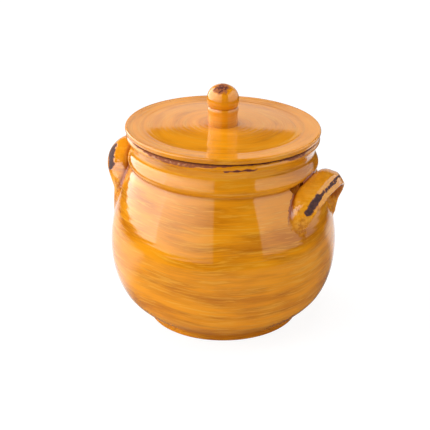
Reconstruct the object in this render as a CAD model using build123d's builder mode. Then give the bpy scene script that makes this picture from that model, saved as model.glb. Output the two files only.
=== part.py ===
from build123d import *
from math import cos, radians, sin, sqrt
import os

# A lidded olive jar, thrown on a wheel: a round belly on a turned foot, a collar with a
# rolled lip, two strap handles bent over the shoulder, and a flat lid with a ball knob.
# Millimetres. The origin is the centre of the foot on the ground, +Z is up, and +X runs
# through the middle of the right-hand handle.

# Belly and foot
rim_height = 190.0
belly_radius = 111.4
belly_height = 77.0
foot_radius = 74.4
foot_height = 5.0
foot_edge_round = 1.6
low_belly_radius_share = 0.70
low_belly_height_share = 0.36
shoulder_draw = 9.5
shoulder_drop = 62.0

# Neck: drawn in from the belly to the mouth, clay beyond the mouth, drops below the rim
mouth_draw = 28.4
mouth_round = 3.0
crease_clay = 6.4
crease_drop = 33.0
bead_clay = 10.0
bead_drop = 27.5
waist_clay = 6.6
waist_drop = 18.0
lip_clay = 11.1
lip_round = 4.4

# Inside and underneath
wall = 6.0
base_thickness = 7.0
floor_draw = 16.4
foot_ring_width = 9.0
recess_depth = 2.6

# Strap handles
strap_width = 24.0
strap_thickness = 11.0
strap_corner_share = 0.46
strap_tilt = 22.0
strap_gap = 3.0
handle_half_span = 37.0
handle_crown_drop = 30.5
handle_foot_sink = 9.0
tail_drop = 16.0
tail_sink = 3.4
tail_width_share = 0.70
strap_stations = 9

# Lid
lid_overhang = 0.9
lid_seat_overlap = 0.9
lid_edge_height = 6.6
lid_edge_round = 1.5
lid_flange_width = 16.5
lid_valley_depth = 1.0
lid_valley_width = 2.4
lid_dome_rise = 3.1
lid_wall = 5.6
locating_clearance = 1.5
locating_ring_depth = 7.0
locating_ring_wall = 5.0
locating_ring_round = 1.2

# Knob
knob_radius = 15.6
knob_height = 39.8
groove_drop = 6.9
collar_radius = 14.9
collar_drop = 10.2
stem_radius = 14.3
stem_top_drop = 13.0
stem_waist_radius = 14.0
knob_foot_radius = 15.8
knob_foot_round = 2.4


shoulder_radius = belly_radius - shoulder_draw
shoulder_height = rim_height - shoulder_drop
mouth_radius = belly_radius - mouth_draw
crease_radius = mouth_radius + crease_clay
crease_height = rim_height - crease_drop
bead_radius = mouth_radius + bead_clay
lip_radius = mouth_radius + lip_clay
floor_radius = foot_radius - floor_draw


def low_belly(corner_radius, corner_height):
    """The point of the lower belly between a foot corner and the widest circle."""
    return (
        corner_radius + low_belly_radius_share * (belly_radius - corner_radius),
        corner_height + low_belly_height_share * (belly_height - corner_height),
    )


# Jar blank: the thrown form before it is hollowed, which also shapes the handles' feet
with BuildPart() as jar_blank:
    with BuildSketch(Plane.XZ):
        with BuildLine():
            Line((0, 0), (foot_radius - foot_edge_round, 0))
            JernArc((foot_radius - foot_edge_round, 0), (1, 0), foot_edge_round, 90)
            Line((foot_radius, foot_edge_round), (foot_radius, foot_height))
            Spline(
                (foot_radius, foot_height),
                low_belly(foot_radius, foot_height),
                (belly_radius, belly_height),
                (shoulder_radius, shoulder_height),
                (crease_radius, crease_height),
            )
            Spline(
                (crease_radius, crease_height),
                (bead_radius, rim_height - bead_drop),
                (mouth_radius + waist_clay, rim_height - waist_drop),
                (lip_radius, rim_height - lip_round),
            )
            JernArc((lip_radius, rim_height - lip_round), (0, 1), lip_round, 90)
            Line((lip_radius - lip_round, rim_height), (0, rim_height))
            Line((0, rim_height), (0, 0))
        make_face()
    revolve(axis=Axis.Z)

# Jar body: the blank hollowed out, with a shallow recess that leaves a foot ring
floor_height = recess_depth + base_thickness
recess_radius = foot_radius - foot_ring_width
with BuildPart() as jar_body:
    add(jar_blank.part)
    with BuildSketch(Plane.XZ):
        with BuildLine():
            Line((0, floor_height), (floor_radius, floor_height))
            Spline(
                (floor_radius, floor_height),
                low_belly(floor_radius, floor_height),
                (belly_radius - wall, belly_height),
                (shoulder_radius - wall, shoulder_height),
                (mouth_radius, crease_height),
            )
            Line((mouth_radius, crease_height), (mouth_radius, rim_height - mouth_round))
            JernArc((mouth_radius, rim_height - mouth_round), (0, 1), mouth_round, -90)
            Line((mouth_radius + mouth_round, rim_height), (0, rim_height))
            Line((0, rim_height), (0, floor_height))
        make_face()
    revolve(axis=Axis.Z, mode=Mode.SUBTRACT)
    with BuildSketch(Plane.XZ):
        with BuildLine():
            Polyline(
                (0, 0),
                (recess_radius, 0),
                (recess_radius - recess_depth, recess_depth),
                (0, recess_depth),
                close=True,
            )
        make_face()
    revolve(axis=Axis.Z, mode=Mode.SUBTRACT)
jar_body.part.label = "jar_body"

# Strap handles: sections lofted along an arch that stands on the shoulder, rises beside
# the collar and leans outwards at its crown, with a thinning tail down each foot
crown_reach = bead_radius + strap_gap + cos(radians(strap_tilt)) * strap_width / 2
foot_reach = shoulder_radius - handle_foot_sink
handle_rise = rim_height - handle_crown_drop - shoulder_height


def strap_plane(angle):
    """The plane across the strap at an angle of its arch, from 0 at one foot to 180."""
    turn = radians(angle)
    centre = Vector(
        foot_reach + (crown_reach - foot_reach) * sin(turn),
        -handle_half_span * cos(turn),
        shoulder_height + handle_rise * sin(turn),
    )
    along = Vector(
        (crown_reach - foot_reach) * cos(turn),
        handle_half_span * sin(turn),
        handle_rise * cos(turn),
    ).normalized()
    lean = radians(strap_tilt * sin(turn))
    across = Vector(cos(lean), 0, -sin(lean))
    return Plane(origin=centre, x_dir=across - along * across.dot(along), z_dir=along)


def tail_plane(side):
    """The level plane across the end of one foot's tail; side is -1 first and 1 last."""
    centre = (foot_reach - tail_sink, side * handle_half_span, shoulder_height - tail_drop)
    return Plane(origin=centre, x_dir=(1, 0, 0), z_dir=(0, 0, -side))


def draw_section(width_share):
    """Draws the strap's rounded section at a share of its full width."""
    RectangleRounded(
        strap_width * width_share, strap_thickness, strap_thickness * strap_corner_share
    )


with BuildPart() as handle_right:
    with BuildSketch(tail_plane(-1)):
        draw_section(tail_width_share)
    for station in range(strap_stations):
        with BuildSketch(strap_plane(180 * station / (strap_stations - 1))):
            draw_section(1)
    with BuildSketch(tail_plane(1)):
        draw_section(tail_width_share)
    loft()
    add(jar_blank.part, mode=Mode.SUBTRACT)
handle_right.part.label = "handle_right"

with BuildPart() as handle_left:
    add(handle_right.part, rotation=(0, 0, 180))
handle_left.part.label = "handle_left"

# Lid: a rolled edge, a flange dished down to a valley, and a low dome inside it. The
# underside is flat inside a ring that keeps the lid centred in the mouth
lid_radius = lip_radius + lid_overhang
seat_radius = lip_radius - lip_round + lid_seat_overlap
edge_top = rim_height + lid_edge_height
crest_radius = lid_radius - lid_edge_round
valley_radius = crest_radius - lid_flange_width
valley_height = edge_top - lid_valley_depth
lid_top = valley_height + lid_dome_rise
ceiling_height = lid_top - lid_wall
ring_radius = mouth_radius - locating_clearance
ring_bore = ring_radius - locating_ring_wall
ring_bottom = rim_height - locating_ring_depth
with BuildPart() as lid:
    with BuildSketch(Plane.XZ):
        with BuildLine():
            Line((0, ceiling_height), (ring_bore, ceiling_height))
            Line((ring_bore, ceiling_height), (ring_bore, ring_bottom + locating_ring_round))
            JernArc(
                (ring_bore, ring_bottom + locating_ring_round),
                (0, -1),
                locating_ring_round,
                90,
            )
            Line(
                (ring_bore + locating_ring_round, ring_bottom),
                (ring_radius - locating_ring_round, ring_bottom),
            )
            JernArc(
                (ring_radius - locating_ring_round, ring_bottom),
                (1, 0),
                locating_ring_round,
                90,
            )
            Line((ring_radius, ring_bottom + locating_ring_round), (ring_radius, rim_height))
            Line((ring_radius, rim_height), (seat_radius, rim_height))
            Spline(
                (seat_radius, rim_height),
                (lid_radius, edge_top - lid_edge_round),
                tangents=[(1, 0), (0, 1)],
            )
            JernArc((lid_radius, edge_top - lid_edge_round), (0, 1), lid_edge_round, 90)
            Spline(
                (crest_radius, edge_top),
                (valley_radius + lid_valley_width, valley_height),
                tangents=[(-1, 0), (-1, 0)],
            )
            Line(
                (valley_radius + lid_valley_width, valley_height),
                (valley_radius, valley_height),
            )
            TangentArc((knob_foot_radius, lid_top), (valley_radius, valley_height), tangent=(1, 0))
            Line((knob_foot_radius, lid_top), (0, lid_top))
            Line((0, lid_top), (0, ceiling_height))
        make_face()
    revolve(axis=Axis.Z)
lid.part.label = "lid"

# Knob: a ball over a groove and a small collar, on a stem that spreads where it is
# luted to the lid
knob_top = lid_top + knob_height
ball_height = knob_top - knob_radius
groove_radius = sqrt(knob_radius**2 - groove_drop**2)
with BuildPart() as lid_knob:
    with BuildSketch(Plane.XZ):
        with BuildLine():
            Line((0, lid_top), (knob_foot_radius, lid_top))
            Spline(
                (knob_foot_radius, lid_top),
                (stem_waist_radius, lid_top + knob_foot_round),
                (stem_radius, ball_height - stem_top_drop),
            )
            ThreePointArc(
                (stem_radius, ball_height - stem_top_drop),
                (collar_radius, ball_height - collar_drop),
                (groove_radius, ball_height - groove_drop),
            )
            ThreePointArc(
                (groove_radius, ball_height - groove_drop),
                (knob_radius, ball_height),
                (0, knob_top),
            )
            Line((0, knob_top), (0, lid_top))
        make_face()
    revolve(axis=Axis.Z)
lid_knob.part.label = "lid_knob"

os.makedirs("parts", exist_ok=True)
for piece in (jar_body, handle_right, handle_left, lid, lid_knob):
    export_step(piece.part, "parts/" + piece.part.label + ".step")
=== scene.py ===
"""Looks of a lidded olive jar: honey-amber gloss glaze over brushed clay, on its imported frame.

Lengths are metres. The part's axes are used throughout: +X runs through the right-hand
handle and +Z is up. The camera and lamps are placed in the photograph's own directions
(right, away, up), which are turned a little from the part's.
"""

import logging
import math
from dataclasses import dataclass
from enum import Enum
from typing import Any, Callable, Sequence, Union

import bmesh
import bpy
from mathutils import Matrix, Vector, noise
from mathutils.bvhtree import BVHTree
from mathutils.geometry import interpolate_bezier
from mathutils.kdtree import KDTree


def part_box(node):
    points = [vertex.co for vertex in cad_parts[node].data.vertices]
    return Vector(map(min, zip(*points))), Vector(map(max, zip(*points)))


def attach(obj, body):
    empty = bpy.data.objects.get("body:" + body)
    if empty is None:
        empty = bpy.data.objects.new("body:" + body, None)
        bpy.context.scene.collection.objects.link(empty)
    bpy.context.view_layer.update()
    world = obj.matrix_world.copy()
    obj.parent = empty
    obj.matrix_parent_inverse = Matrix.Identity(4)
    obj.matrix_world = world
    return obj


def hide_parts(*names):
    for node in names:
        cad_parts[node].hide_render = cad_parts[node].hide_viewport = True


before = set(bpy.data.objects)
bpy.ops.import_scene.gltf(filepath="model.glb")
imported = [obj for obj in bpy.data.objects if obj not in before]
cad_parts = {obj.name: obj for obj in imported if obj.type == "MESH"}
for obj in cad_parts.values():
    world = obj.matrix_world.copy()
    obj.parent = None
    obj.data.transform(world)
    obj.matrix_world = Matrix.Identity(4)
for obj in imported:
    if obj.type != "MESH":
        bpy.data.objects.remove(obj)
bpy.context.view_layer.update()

LOG = logging.getLogger("olive_jar")
MM = 0.001
PHOTO_TURN = math.radians(24.0)
CLAY_SEED = 5

Colour = tuple[float, float, float, float]
Place = tuple[float, float, float]
Socket = bpy.types.NodeSocket
Feed = Union[Socket, float, Sequence[float]]

WHITE: Colour = (1.0, 1.0, 1.0, 1.0)


def from_photo(right: float, away: float, up: float) -> Vector:
    """A place given in the photograph's directions, turned into the part's axes.

    Args:
        right: Metres to the right in the photograph.
        away: Metres away from the camera.
        up: Height above the ground.

    Returns:
        The same place in the part's axes.
    """
    return Matrix.Rotation(PHOTO_TURN, 3, "Z") @ Vector((right, away, up))


def to_photo(place: Vector) -> Vector:
    """A place in the part's axes, turned into the photograph's directions."""
    return Matrix.Rotation(-PHOTO_TURN, 3, "Z") @ place


def from_axis(place: Vector) -> float:
    """The distance of a place from the turning axis."""
    return math.hypot(place.x, place.y)


def grey(level: float) -> Colour:
    """A neutral colour."""
    return (level, level, level, 1.0)


def smooth_step(low: float, high: float, value: float) -> float:
    """A soft ramp from 0 at low to 1 at high."""
    share = min(1.0, max(0.0, (value - low) / (high - low)))
    return share * share * (3.0 - 2.0 * share)


def hump(centre: float, spread: float, value: float) -> float:
    """A bell of height 1 at centre that falls away over spread."""
    return math.exp(-(((value - centre) / spread) ** 2))


class Side(Enum):
    """Which side of the jar a handle stands on."""

    RIGHT = 1
    LEFT = -1


class BrushRun(Enum):
    """The way the brush marks run over a piece."""

    ROUND_THE_WALL = "round the wall"
    ROUND_THE_TOP = "round the top"
    PATCHY = "patchy"


@dataclass(frozen=True)
class Lean:
    """The slight lean that the neck of a hand-thrown jar takes while it dries.

    The whole neck leans to the right in the photograph, and its rim also falls off a
    little towards the back, so that the lid lies a shade flatter to the eye.

    Attributes:
        angle: How far the neck leans, in radians.
        start: Height where the lean begins.
        end: Height above which everything leans alike.
        rim_angle: How far the rim falls off towards the back, in radians.
        rim_start: Height where that begins.
        rim_end: Height above which it is the same.
    """

    angle: float = math.radians(1.31)
    start: float = 0.100
    end: float = 0.157
    rim_angle: float = math.radians(0.9)
    rim_start: float = 0.164
    rim_end: float = 0.183

    def drop(self, place: Vector) -> float:
        """How far the lean has lowered a place.

        Args:
            place: A place in the part's axes.

        Returns:
            The drop in metres, which is negative where the lean has raised it.
        """
        turned = to_photo(place)
        in_neck = smooth_step(self.start, self.end, place.z)
        in_rim = smooth_step(self.rim_start, self.rim_end, place.z)
        neck = math.tan(self.angle) * turned.x * in_neck
        return neck + math.tan(self.rim_angle) * turned.y * in_rim

    def settle(self, place: Vector) -> Vector:
        """Where a point of the upright jar comes to lie once the neck has leant."""
        return Vector((place.x, place.y, place.z - self.drop(place)))

    def height(self, place: Vector) -> float:
        """The height that a point of the leaning neck had while the jar was upright."""
        return place.z + self.drop(place)


LEAN = Lean()


@dataclass(frozen=True)
class Knot:
    """One point of a turned outline, with the directions of the curve there.

    Attributes:
        radius: Distance from the turning axis, in millimetres.
        height: Height above the ground, in millimetres.
        heading: Direction of travel in degrees, from outwards towards up.
        leaving: Direction of travel after the point, where it is a corner.
    """

    radius: float
    height: float
    heading: float
    leaving: float | None = None

    def place(self) -> Vector:
        """The point in the XZ plane, in metres."""
        return Vector((self.radius * MM, 0.0, self.height * MM))

    def towards(self, after: bool) -> Vector:
        """The direction of travel at the point.

        Args:
            after: Whether it is the direction after the point, not before it.

        Returns:
            The direction in the XZ plane.
        """
        turned = self.leaving if after and self.leaving is not None else self.heading
        angle = math.radians(turned)
        return Vector((math.cos(angle), 0.0, math.sin(angle)))


def trace(knots: Sequence[Knot], step: float) -> list[Vector]:
    """Follows a turned outline through its knots.

    Args:
        knots: The outline's knots in order.
        step: The wanted distance between points, in metres.

    Returns:
        Points along the outline in the XZ plane.
    """
    points = [knots[0].place()]
    for first, second in zip(knots, knots[1:]):
        start, end = first.place(), second.place()
        reach = (end - start).length / 3.0
        count = max(5, round((end - start).length / step) + 1)
        curve = interpolate_bezier(
            start,
            start + first.towards(after=True) * reach,
            end - second.towards(after=False) * reach,
            end,
            count,
        )
        points += curve[1:]
    return points


def spin_outline(points: Sequence[Vector], steps: int) -> bmesh.types.BMesh:
    """Turns an outline once round the vertical axis into a closed skin.

    Args:
        points: The outline in the XZ plane.
        steps: Facets round the axis.

    Returns:
        The turned form, with its poles closed and its faces outwards.
    """
    turned = bmesh.new()
    verts = [turned.verts.new(point) for point in points]
    edges = [turned.edges.new(pair) for pair in zip(verts, verts[1:])]
    bmesh.ops.spin(
        turned,
        geom=verts + edges,
        cent=(0.0, 0.0, 0.0),
        axis=(0.0, 0.0, 1.0),
        angle=math.tau,
        steps=steps,
        use_merge=True,
    )
    bmesh.ops.remove_doubles(turned, verts=turned.verts, dist=1e-6)
    bmesh.ops.recalc_face_normals(turned, faces=turned.faces)
    return turned


def make_piece(name: str, form: bmesh.types.BMesh) -> bpy.types.Object:
    """Turns a finished form into a smooth-shaded object at the origin.

    Args:
        name: The piece's name.
        form: Its mesh, which is freed.

    Returns:
        The new object, linked to the scene.
    """
    mesh = bpy.data.meshes.new(name)
    for face in form.faces:
        face.smooth = True
    form.to_mesh(mesh)
    form.free()
    piece = bpy.data.objects.new(name, mesh)
    bpy.context.scene.collection.objects.link(piece)
    return piece


def paint(piece: bpy.types.Object, name: str, rule: Callable[[Vector], float]) -> None:
    """Stores a value for each point of a piece as a mesh attribute.

    Args:
        piece: The piece to mark.
        name: The attribute's name.
        rule: Gives the value at a point.
    """
    marks = piece.data.attributes.new(name, "FLOAT", "POINT")
    marks.data.foreach_set("value", [rule(vertex.co) for vertex in piece.data.vertices])


def seat(piece: bpy.types.Object, body: str, node: str, slot: str) -> None:
    """Lets a piece ride on its body and stand for its CAD node, and reports it.

    Args:
        piece: The finished piece.
        body: The body it rides on.
        node: The CAD node it stands for.
        slot: Not used.
    """
    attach(piece, body)
    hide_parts(node)
    LOG.info("%s: %d faces on %s", piece.name, len(piece.data.polygons), body)


class Bench:
    """Lays out shader nodes in one node tree."""

    def __init__(self, tree: bpy.types.NodeTree) -> None:
        """Sets the bench up on a node tree."""
        self.tree = tree

    def node(
        self, kind: str, sockets: dict[str | int, Feed] | None = None, **settings: Any
    ) -> bpy.types.Node:
        """Adds a node, sets its properties, and fills or links its sockets.

        Args:
            kind: The node's type without the ShaderNode prefix.
            sockets: Values or output sockets by input name or number.
            **settings: Node properties.

        Returns:
            The new node.
        """
        made = self.tree.nodes.new("ShaderNode" + kind)
        for key, value in settings.items():
            setattr(made, key, value)
        for key, value in (sockets or {}).items():
            self.fill(made.inputs[key], value)
        return made

    def fill(self, socket: Socket, value: Feed) -> None:
        """Feeds an input socket.

        Args:
            socket: The input.
            value: An output socket to link to it, or a plain value to store in it.
        """
        if isinstance(value, Socket):
            self.tree.links.new(value, socket)
        else:
            socket.default_value = value

    def math(self, operation: str, first: Feed, second: Feed = 0.0, clamp: bool = False) -> Socket:
        """The result of a Math node on two values or sockets."""
        made = self.node("Math", {0: first, 1: second}, operation=operation, use_clamp=clamp)
        return made.outputs[0]

    def blend(self, share: float, first: Feed, second: Feed) -> Socket:
        """A value between two others."""
        first = self.math("MULTIPLY", first, 1.0 - share)
        return self.math("ADD", first, self.math("MULTIPLY", second, share))

    def ramp(self, value: Feed, low: float, high: float) -> Socket:
        """A smooth ramp of a value from 0 at low to 1 at high."""
        sockets = {"Value": value, "From Min": low, "From Max": high}
        return self.node("MapRange", sockets, interpolation_type="SMOOTHSTEP").outputs[0]

    def even(self, value: Feed, start: float, end: float) -> Socket:
        """A value that runs evenly from start to end while another runs from 0 to 1."""
        return self.node("MapRange", {"Value": value, "To Min": start, "To Max": end}).outputs[0]

    def mix(self, share: Feed, first: Feed, second: Feed) -> Socket:
        """A colour between two others."""
        sockets = {"Factor": share, 6: first, 7: second}
        return self.node("Mix", sockets, data_type="RGBA").outputs[2]

    def noise(
        self, vector: Feed, scale: Feed, detail: float = 2.0, roughness: float = 0.5
    ) -> Socket:
        """The value of a noise texture."""
        sockets = {"Vector": vector, "Scale": scale, "Detail": detail, "Roughness": roughness}
        return self.node("TexNoise", sockets).outputs[0]


def new_group(
    name: str, inputs: dict[str, float | None], outputs: Sequence[str]
) -> tuple[bpy.types.NodeTree, Bench, bpy.types.Node, bpy.types.Node]:
    """Starts a shader node group.

    Args:
        name: The group's name.
        inputs: Input names with their defaults, or None for a vector.
        outputs: The names of its value outputs.

    Returns:
        The group, a bench on it, its input node and its output node.
    """
    group = bpy.data.node_groups.new(name, "ShaderNodeTree")
    for label, default in inputs.items():
        kind = "NodeSocketVector" if default is None else "NodeSocketFloat"
        socket = group.interface.new_socket(label, in_out="INPUT", socket_type=kind)
        if default is not None:
            socket.default_value = default
    for label in outputs:
        group.interface.new_socket(label, in_out="OUTPUT", socket_type="NodeSocketFloat")
    bench = Bench(group)
    start = group.nodes.new("NodeGroupInput")
    end = group.nodes.new("NodeGroupOutput")
    return group, bench, start, end


def brush_marks() -> bpy.types.NodeTree:
    """Builds the group of brush marks: long thin streaks that wander a little.

    Returns:
        A group whose pattern runs fast along the Place input's Z and slowly along its X
        and Y. It puts out the broad tone, the fine lines, the few dark strokes and a height
        for bump.
    """
    inputs = {"Place": None, "Wander": 0.024, "Reach": 15.0, "Closeness": 190.0}
    outputs = ("Tone", "Lines", "Strokes", "Height")
    group, bench, start, end = new_group("brush marks", inputs, outputs)
    place = start.outputs["Place"]
    slow_drift = bench.noise(place, 8.0, detail=1.0)
    quick_drift = bench.noise(place, 34.0, detail=1.0)
    drift = bench.math("SUBTRACT", bench.blend(0.05, slow_drift, quick_drift), 0.5)
    drift = bench.math("MULTIPLY", drift, start.outputs["Wander"])
    parts = bench.node("SeparateXYZ", {0: place})
    fast = bench.math("ADD", parts.outputs[2], drift)
    layers = []
    for slow_share, fast_share, detail in ((0.7, 0.26, 2.0), (1.3, 1.15, 3.0), (2.2, 3.0, 3.0)):
        slow = bench.math("MULTIPLY", start.outputs["Reach"], slow_share)
        quick = bench.math("MULTIPLY", start.outputs["Closeness"], fast_share)
        sockets = {
            0: bench.math("MULTIPLY", parts.outputs[0], slow),
            1: bench.math("MULTIPLY", parts.outputs[1], slow),
            2: bench.math("MULTIPLY", fast, quick),
        }
        spot = bench.node("CombineXYZ", sockets).outputs[0]
        layers.append(bench.noise(spot, 1.0, detail=detail, roughness=0.6))
    broad, middle, fine = layers
    lines = bench.blend(0.5, middle, fine)
    tone = bench.blend(0.5, broad, lines)
    bench.fill(end.inputs["Tone"], bench.ramp(tone, 0.415, 0.59))
    bench.fill(end.inputs["Lines"], bench.ramp(bench.blend(0.6, middle, fine), 0.49, 0.60))
    bench.fill(end.inputs["Strokes"], bench.ramp(bench.blend(0.6, broad, middle), 0.55, 0.64))
    bench.fill(end.inputs["Height"], lines)
    return group


def ragged_wear() -> bpy.types.NodeTree:
    """Builds the group that turns a soft wear mark into a ragged one.

    Returns:
        A group that puts out the thin glaze, the worn area in it and the bare clay there.
    """
    inputs = {"Place": None, "Mark": 0.0, "Grain": 330.0, "Raggedness": 0.75}
    group, bench, start, end = new_group("ragged wear", inputs, ("Thin", "Worn", "Bare"))
    place, grain = start.outputs["Place"], start.outputs["Grain"]
    coarse = bench.math("SUBTRACT", bench.noise(place, grain, detail=4.0, roughness=0.65), 0.5)
    shift = bench.math("MULTIPLY", coarse, start.outputs["Raggedness"])
    present = bench.ramp(start.outputs["Mark"], 0.02, 0.12)
    level = bench.math("ADD", start.outputs["Mark"], shift)
    for label, low, high in (("Thin", 0.28, 0.50), ("Worn", 0.46, 0.56), ("Bare", 0.74, 0.86)):
        shown = bench.math("MULTIPLY", bench.ramp(level, low, high), present)
        bench.fill(end.inputs[label], shown)
    return group


@dataclass(frozen=True)
class Glaze:
    """A clear gloss glaze over brushed amber, with worn places, gathered glaze and painted shade.

    Attributes:
        name: The material's name.
        run: The way the brush marks run.
        honey: The plain colour.
        dark: The colour of the dark brush marks.
        pale: The colour of thin, pale places.
        stroke: The colour of the few fine dark strokes.
        pooled_and_shaded: The colour where glaze gathers in a hollow, also used for painted shade
            behind and under the straps.
        scorched: The colour of the thin glaze round a worn place.
        worn: The colour of a worn place.
        bare: The colour of the bare clay in the middle of it.
        contrast: How much the brush marks show.
        raggedness: How broken the worn places are.
        gloss: Roughness of the clear glaze.
        worn_gloss: Roughness of a worn place.
        bump: Strength of the relief.
        relief: Height of the relief, in metres.
        line_share: How strongly the pale lines show.
        stroke_share: How strongly the dark strokes show.
        scorch_share: How strongly the scorched edge shows.
        sunk: How deep a worn place lies, as a share of the relief.
        refraction: Index of refraction of the clear glaze.
    """

    name: str
    run: BrushRun
    honey: Colour = (0.75, 0.275, 0.006, 1.0)
    dark: Colour = (0.50, 0.155, 0.002, 1.0)
    pale: Colour = (0.84, 0.400, 0.032, 1.0)
    stroke: Colour = (0.36, 0.092, 0.002, 1.0)
    pooled_and_shaded: Colour = (0.30, 0.055, 0.002, 1.0)
    scorched: Colour = (0.34, 0.075, 0.006, 1.0)
    worn: Colour = (0.085, 0.028, 0.021, 1.0)
    bare: Colour = (0.045, 0.017, 0.017, 1.0)
    contrast: float = 1.0
    raggedness: float = 0.75
    gloss: float = 0.07
    worn_gloss: float = 0.9
    bump: float = 0.08
    relief: float = 0.0008
    line_share: float = 0.55
    stroke_share: float = 0.45
    scorch_share: float = 0.65
    sunk: float = 1.5
    refraction: float = 1.65

    def place(self, bench: Bench) -> Socket:
        """The vector that the brush marks follow.

        Args:
            bench: The bench on the material's tree.

        Returns:
            A vector whose Z runs across the marks, and whose X and Y run along them.
        """
        spot = bench.node("TexCoord").outputs["Object"]
        if self.run is BrushRun.ROUND_THE_TOP:
            parts = bench.node("SeparateXYZ", {0: spot})
            flat = bench.node("CombineXYZ", {0: parts.outputs[0], 1: parts.outputs[1]})
            out = bench.node("VectorMath", {0: flat.outputs[0]}, operation="LENGTH")
            sockets = {0: parts.outputs[0], 1: parts.outputs[1], 2: out.outputs["Value"]}
            return bench.node("CombineXYZ", sockets).outputs[0]
        return spot

    def mark(self, bench: Bench, name: str) -> Socket:
        """The value of a painted attribute."""
        return bench.node("Attribute", attribute_name=name).outputs["Fac"]

    def brushed(self, bench: Bench, marks: bpy.types.NodeTree) -> tuple[Socket, Socket]:
        """The brushed colour before wear, and the relief of the brush marks.

        Args:
            bench: The bench on the material's tree.
            marks: The group of brush marks.

        Returns:
            The colour and the height.
        """
        brush = bench.node("Group", {"Place": self.place(bench)}, node_tree=marks)
        tone, lines = brush.outputs["Tone"], brush.outputs["Lines"]
        strokes, relief = brush.outputs["Strokes"], brush.outputs["Height"]
        if self.run is BrushRun.PATCHY:
            spot = bench.node("TexCoord").outputs["Object"]
            lumps = self.mark(bench, "lumps")
            mottle = bench.ramp(bench.noise(spot, 210.0, detail=3.0), 0.40, 0.60)
            flecks = bench.ramp(bench.noise(spot, 340.0), 0.42, 0.58)
            raised = bench.math("MULTIPLY", lumps, 4.0)
            rough = bench.math("MULTIPLY", bench.noise(spot, 230.0), raised)
            tone = self.lumpy(bench, lumps, tone, mottle)
            lines = self.lumpy(bench, lumps, lines, flecks)
            relief = bench.math("ADD", relief, rough)
        layers = (
            (tone, self.contrast, self.dark),
            (lines, self.line_share * self.contrast, self.pale),
            (strokes, self.stroke_share * self.contrast, self.stroke),
        )
        colour = self.honey
        for layer, share, shade in layers:
            colour = bench.mix(bench.math("MULTIPLY", layer, share), colour, shade)
        return colour, relief

    def lumpy(self, bench: Bench, lumps: Socket, even: Socket, patchy: Socket) -> Socket:
        """A value that is even on smooth clay and patchy where the clay is lumpy."""
        change = bench.math("MULTIPLY", bench.math("SUBTRACT", patchy, even), lumps)
        return bench.math("ADD", even, bench.math("MULTIPLY", change, 0.8))

    def material(self, marks: bpy.types.NodeTree, wear_and_shade: bpy.types.NodeTree) -> bpy.types.Material:
        """Builds the material.

        Args:
            marks: The group of brush marks.
            wear_and_shade: The group that makes the worn places and the painted shadow line ragged.

        Returns:
            The material, with its colour, roughness and bump from nodes.
        """
        made = bpy.data.materials.new(self.name)
        made.use_nodes = True
        bench = Bench(made.node_tree)
        shader = made.node_tree.nodes["Principled BSDF"]
        colour, relief = self.brushed(bench, marks)
        sockets = {
            "Place": bench.node("TexCoord").outputs["Object"],
            "Mark": self.mark(bench, "wear_and_shade"),
            "Raggedness": self.raggedness,
        }
        chipped = bench.node("Group", sockets, node_tree=wear_and_shade)
        thin, worn, bare = (chipped.outputs[label] for label in ("Thin", "Worn", "Bare"))
        # Gathered glaze and painted shade behind and under the straps both darken towards one
        # colour.
        pool_and_shade = bench.math("ADD", self.mark(bench, "pool_and_shade"), 0.0, clamp=True)
        colour = bench.mix(pool_and_shade, colour, self.pooled_and_shaded)
        colour = bench.mix(bench.math("MULTIPLY", thin, self.scorch_share), colour, self.scorched)
        colour = bench.mix(worn, colour, self.worn)
        colour = bench.mix(bare, colour, self.bare)
        bench.fill(shader.inputs["Base Color"], colour)
        shader.inputs["IOR"].default_value = self.refraction
        rough = bench.math("MULTIPLY", worn, self.worn_gloss - self.gloss)
        bench.fill(shader.inputs["Roughness"], bench.math("ADD", rough, self.gloss))
        height = bench.math("ADD", relief, bench.math("MULTIPLY", worn, -self.sunk))
        sockets = {"Strength": self.bump, "Distance": self.relief, "Height": height}
        bench.fill(shader.inputs["Normal"], bench.node("Bump", sockets).outputs[0])
        return made


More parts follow.
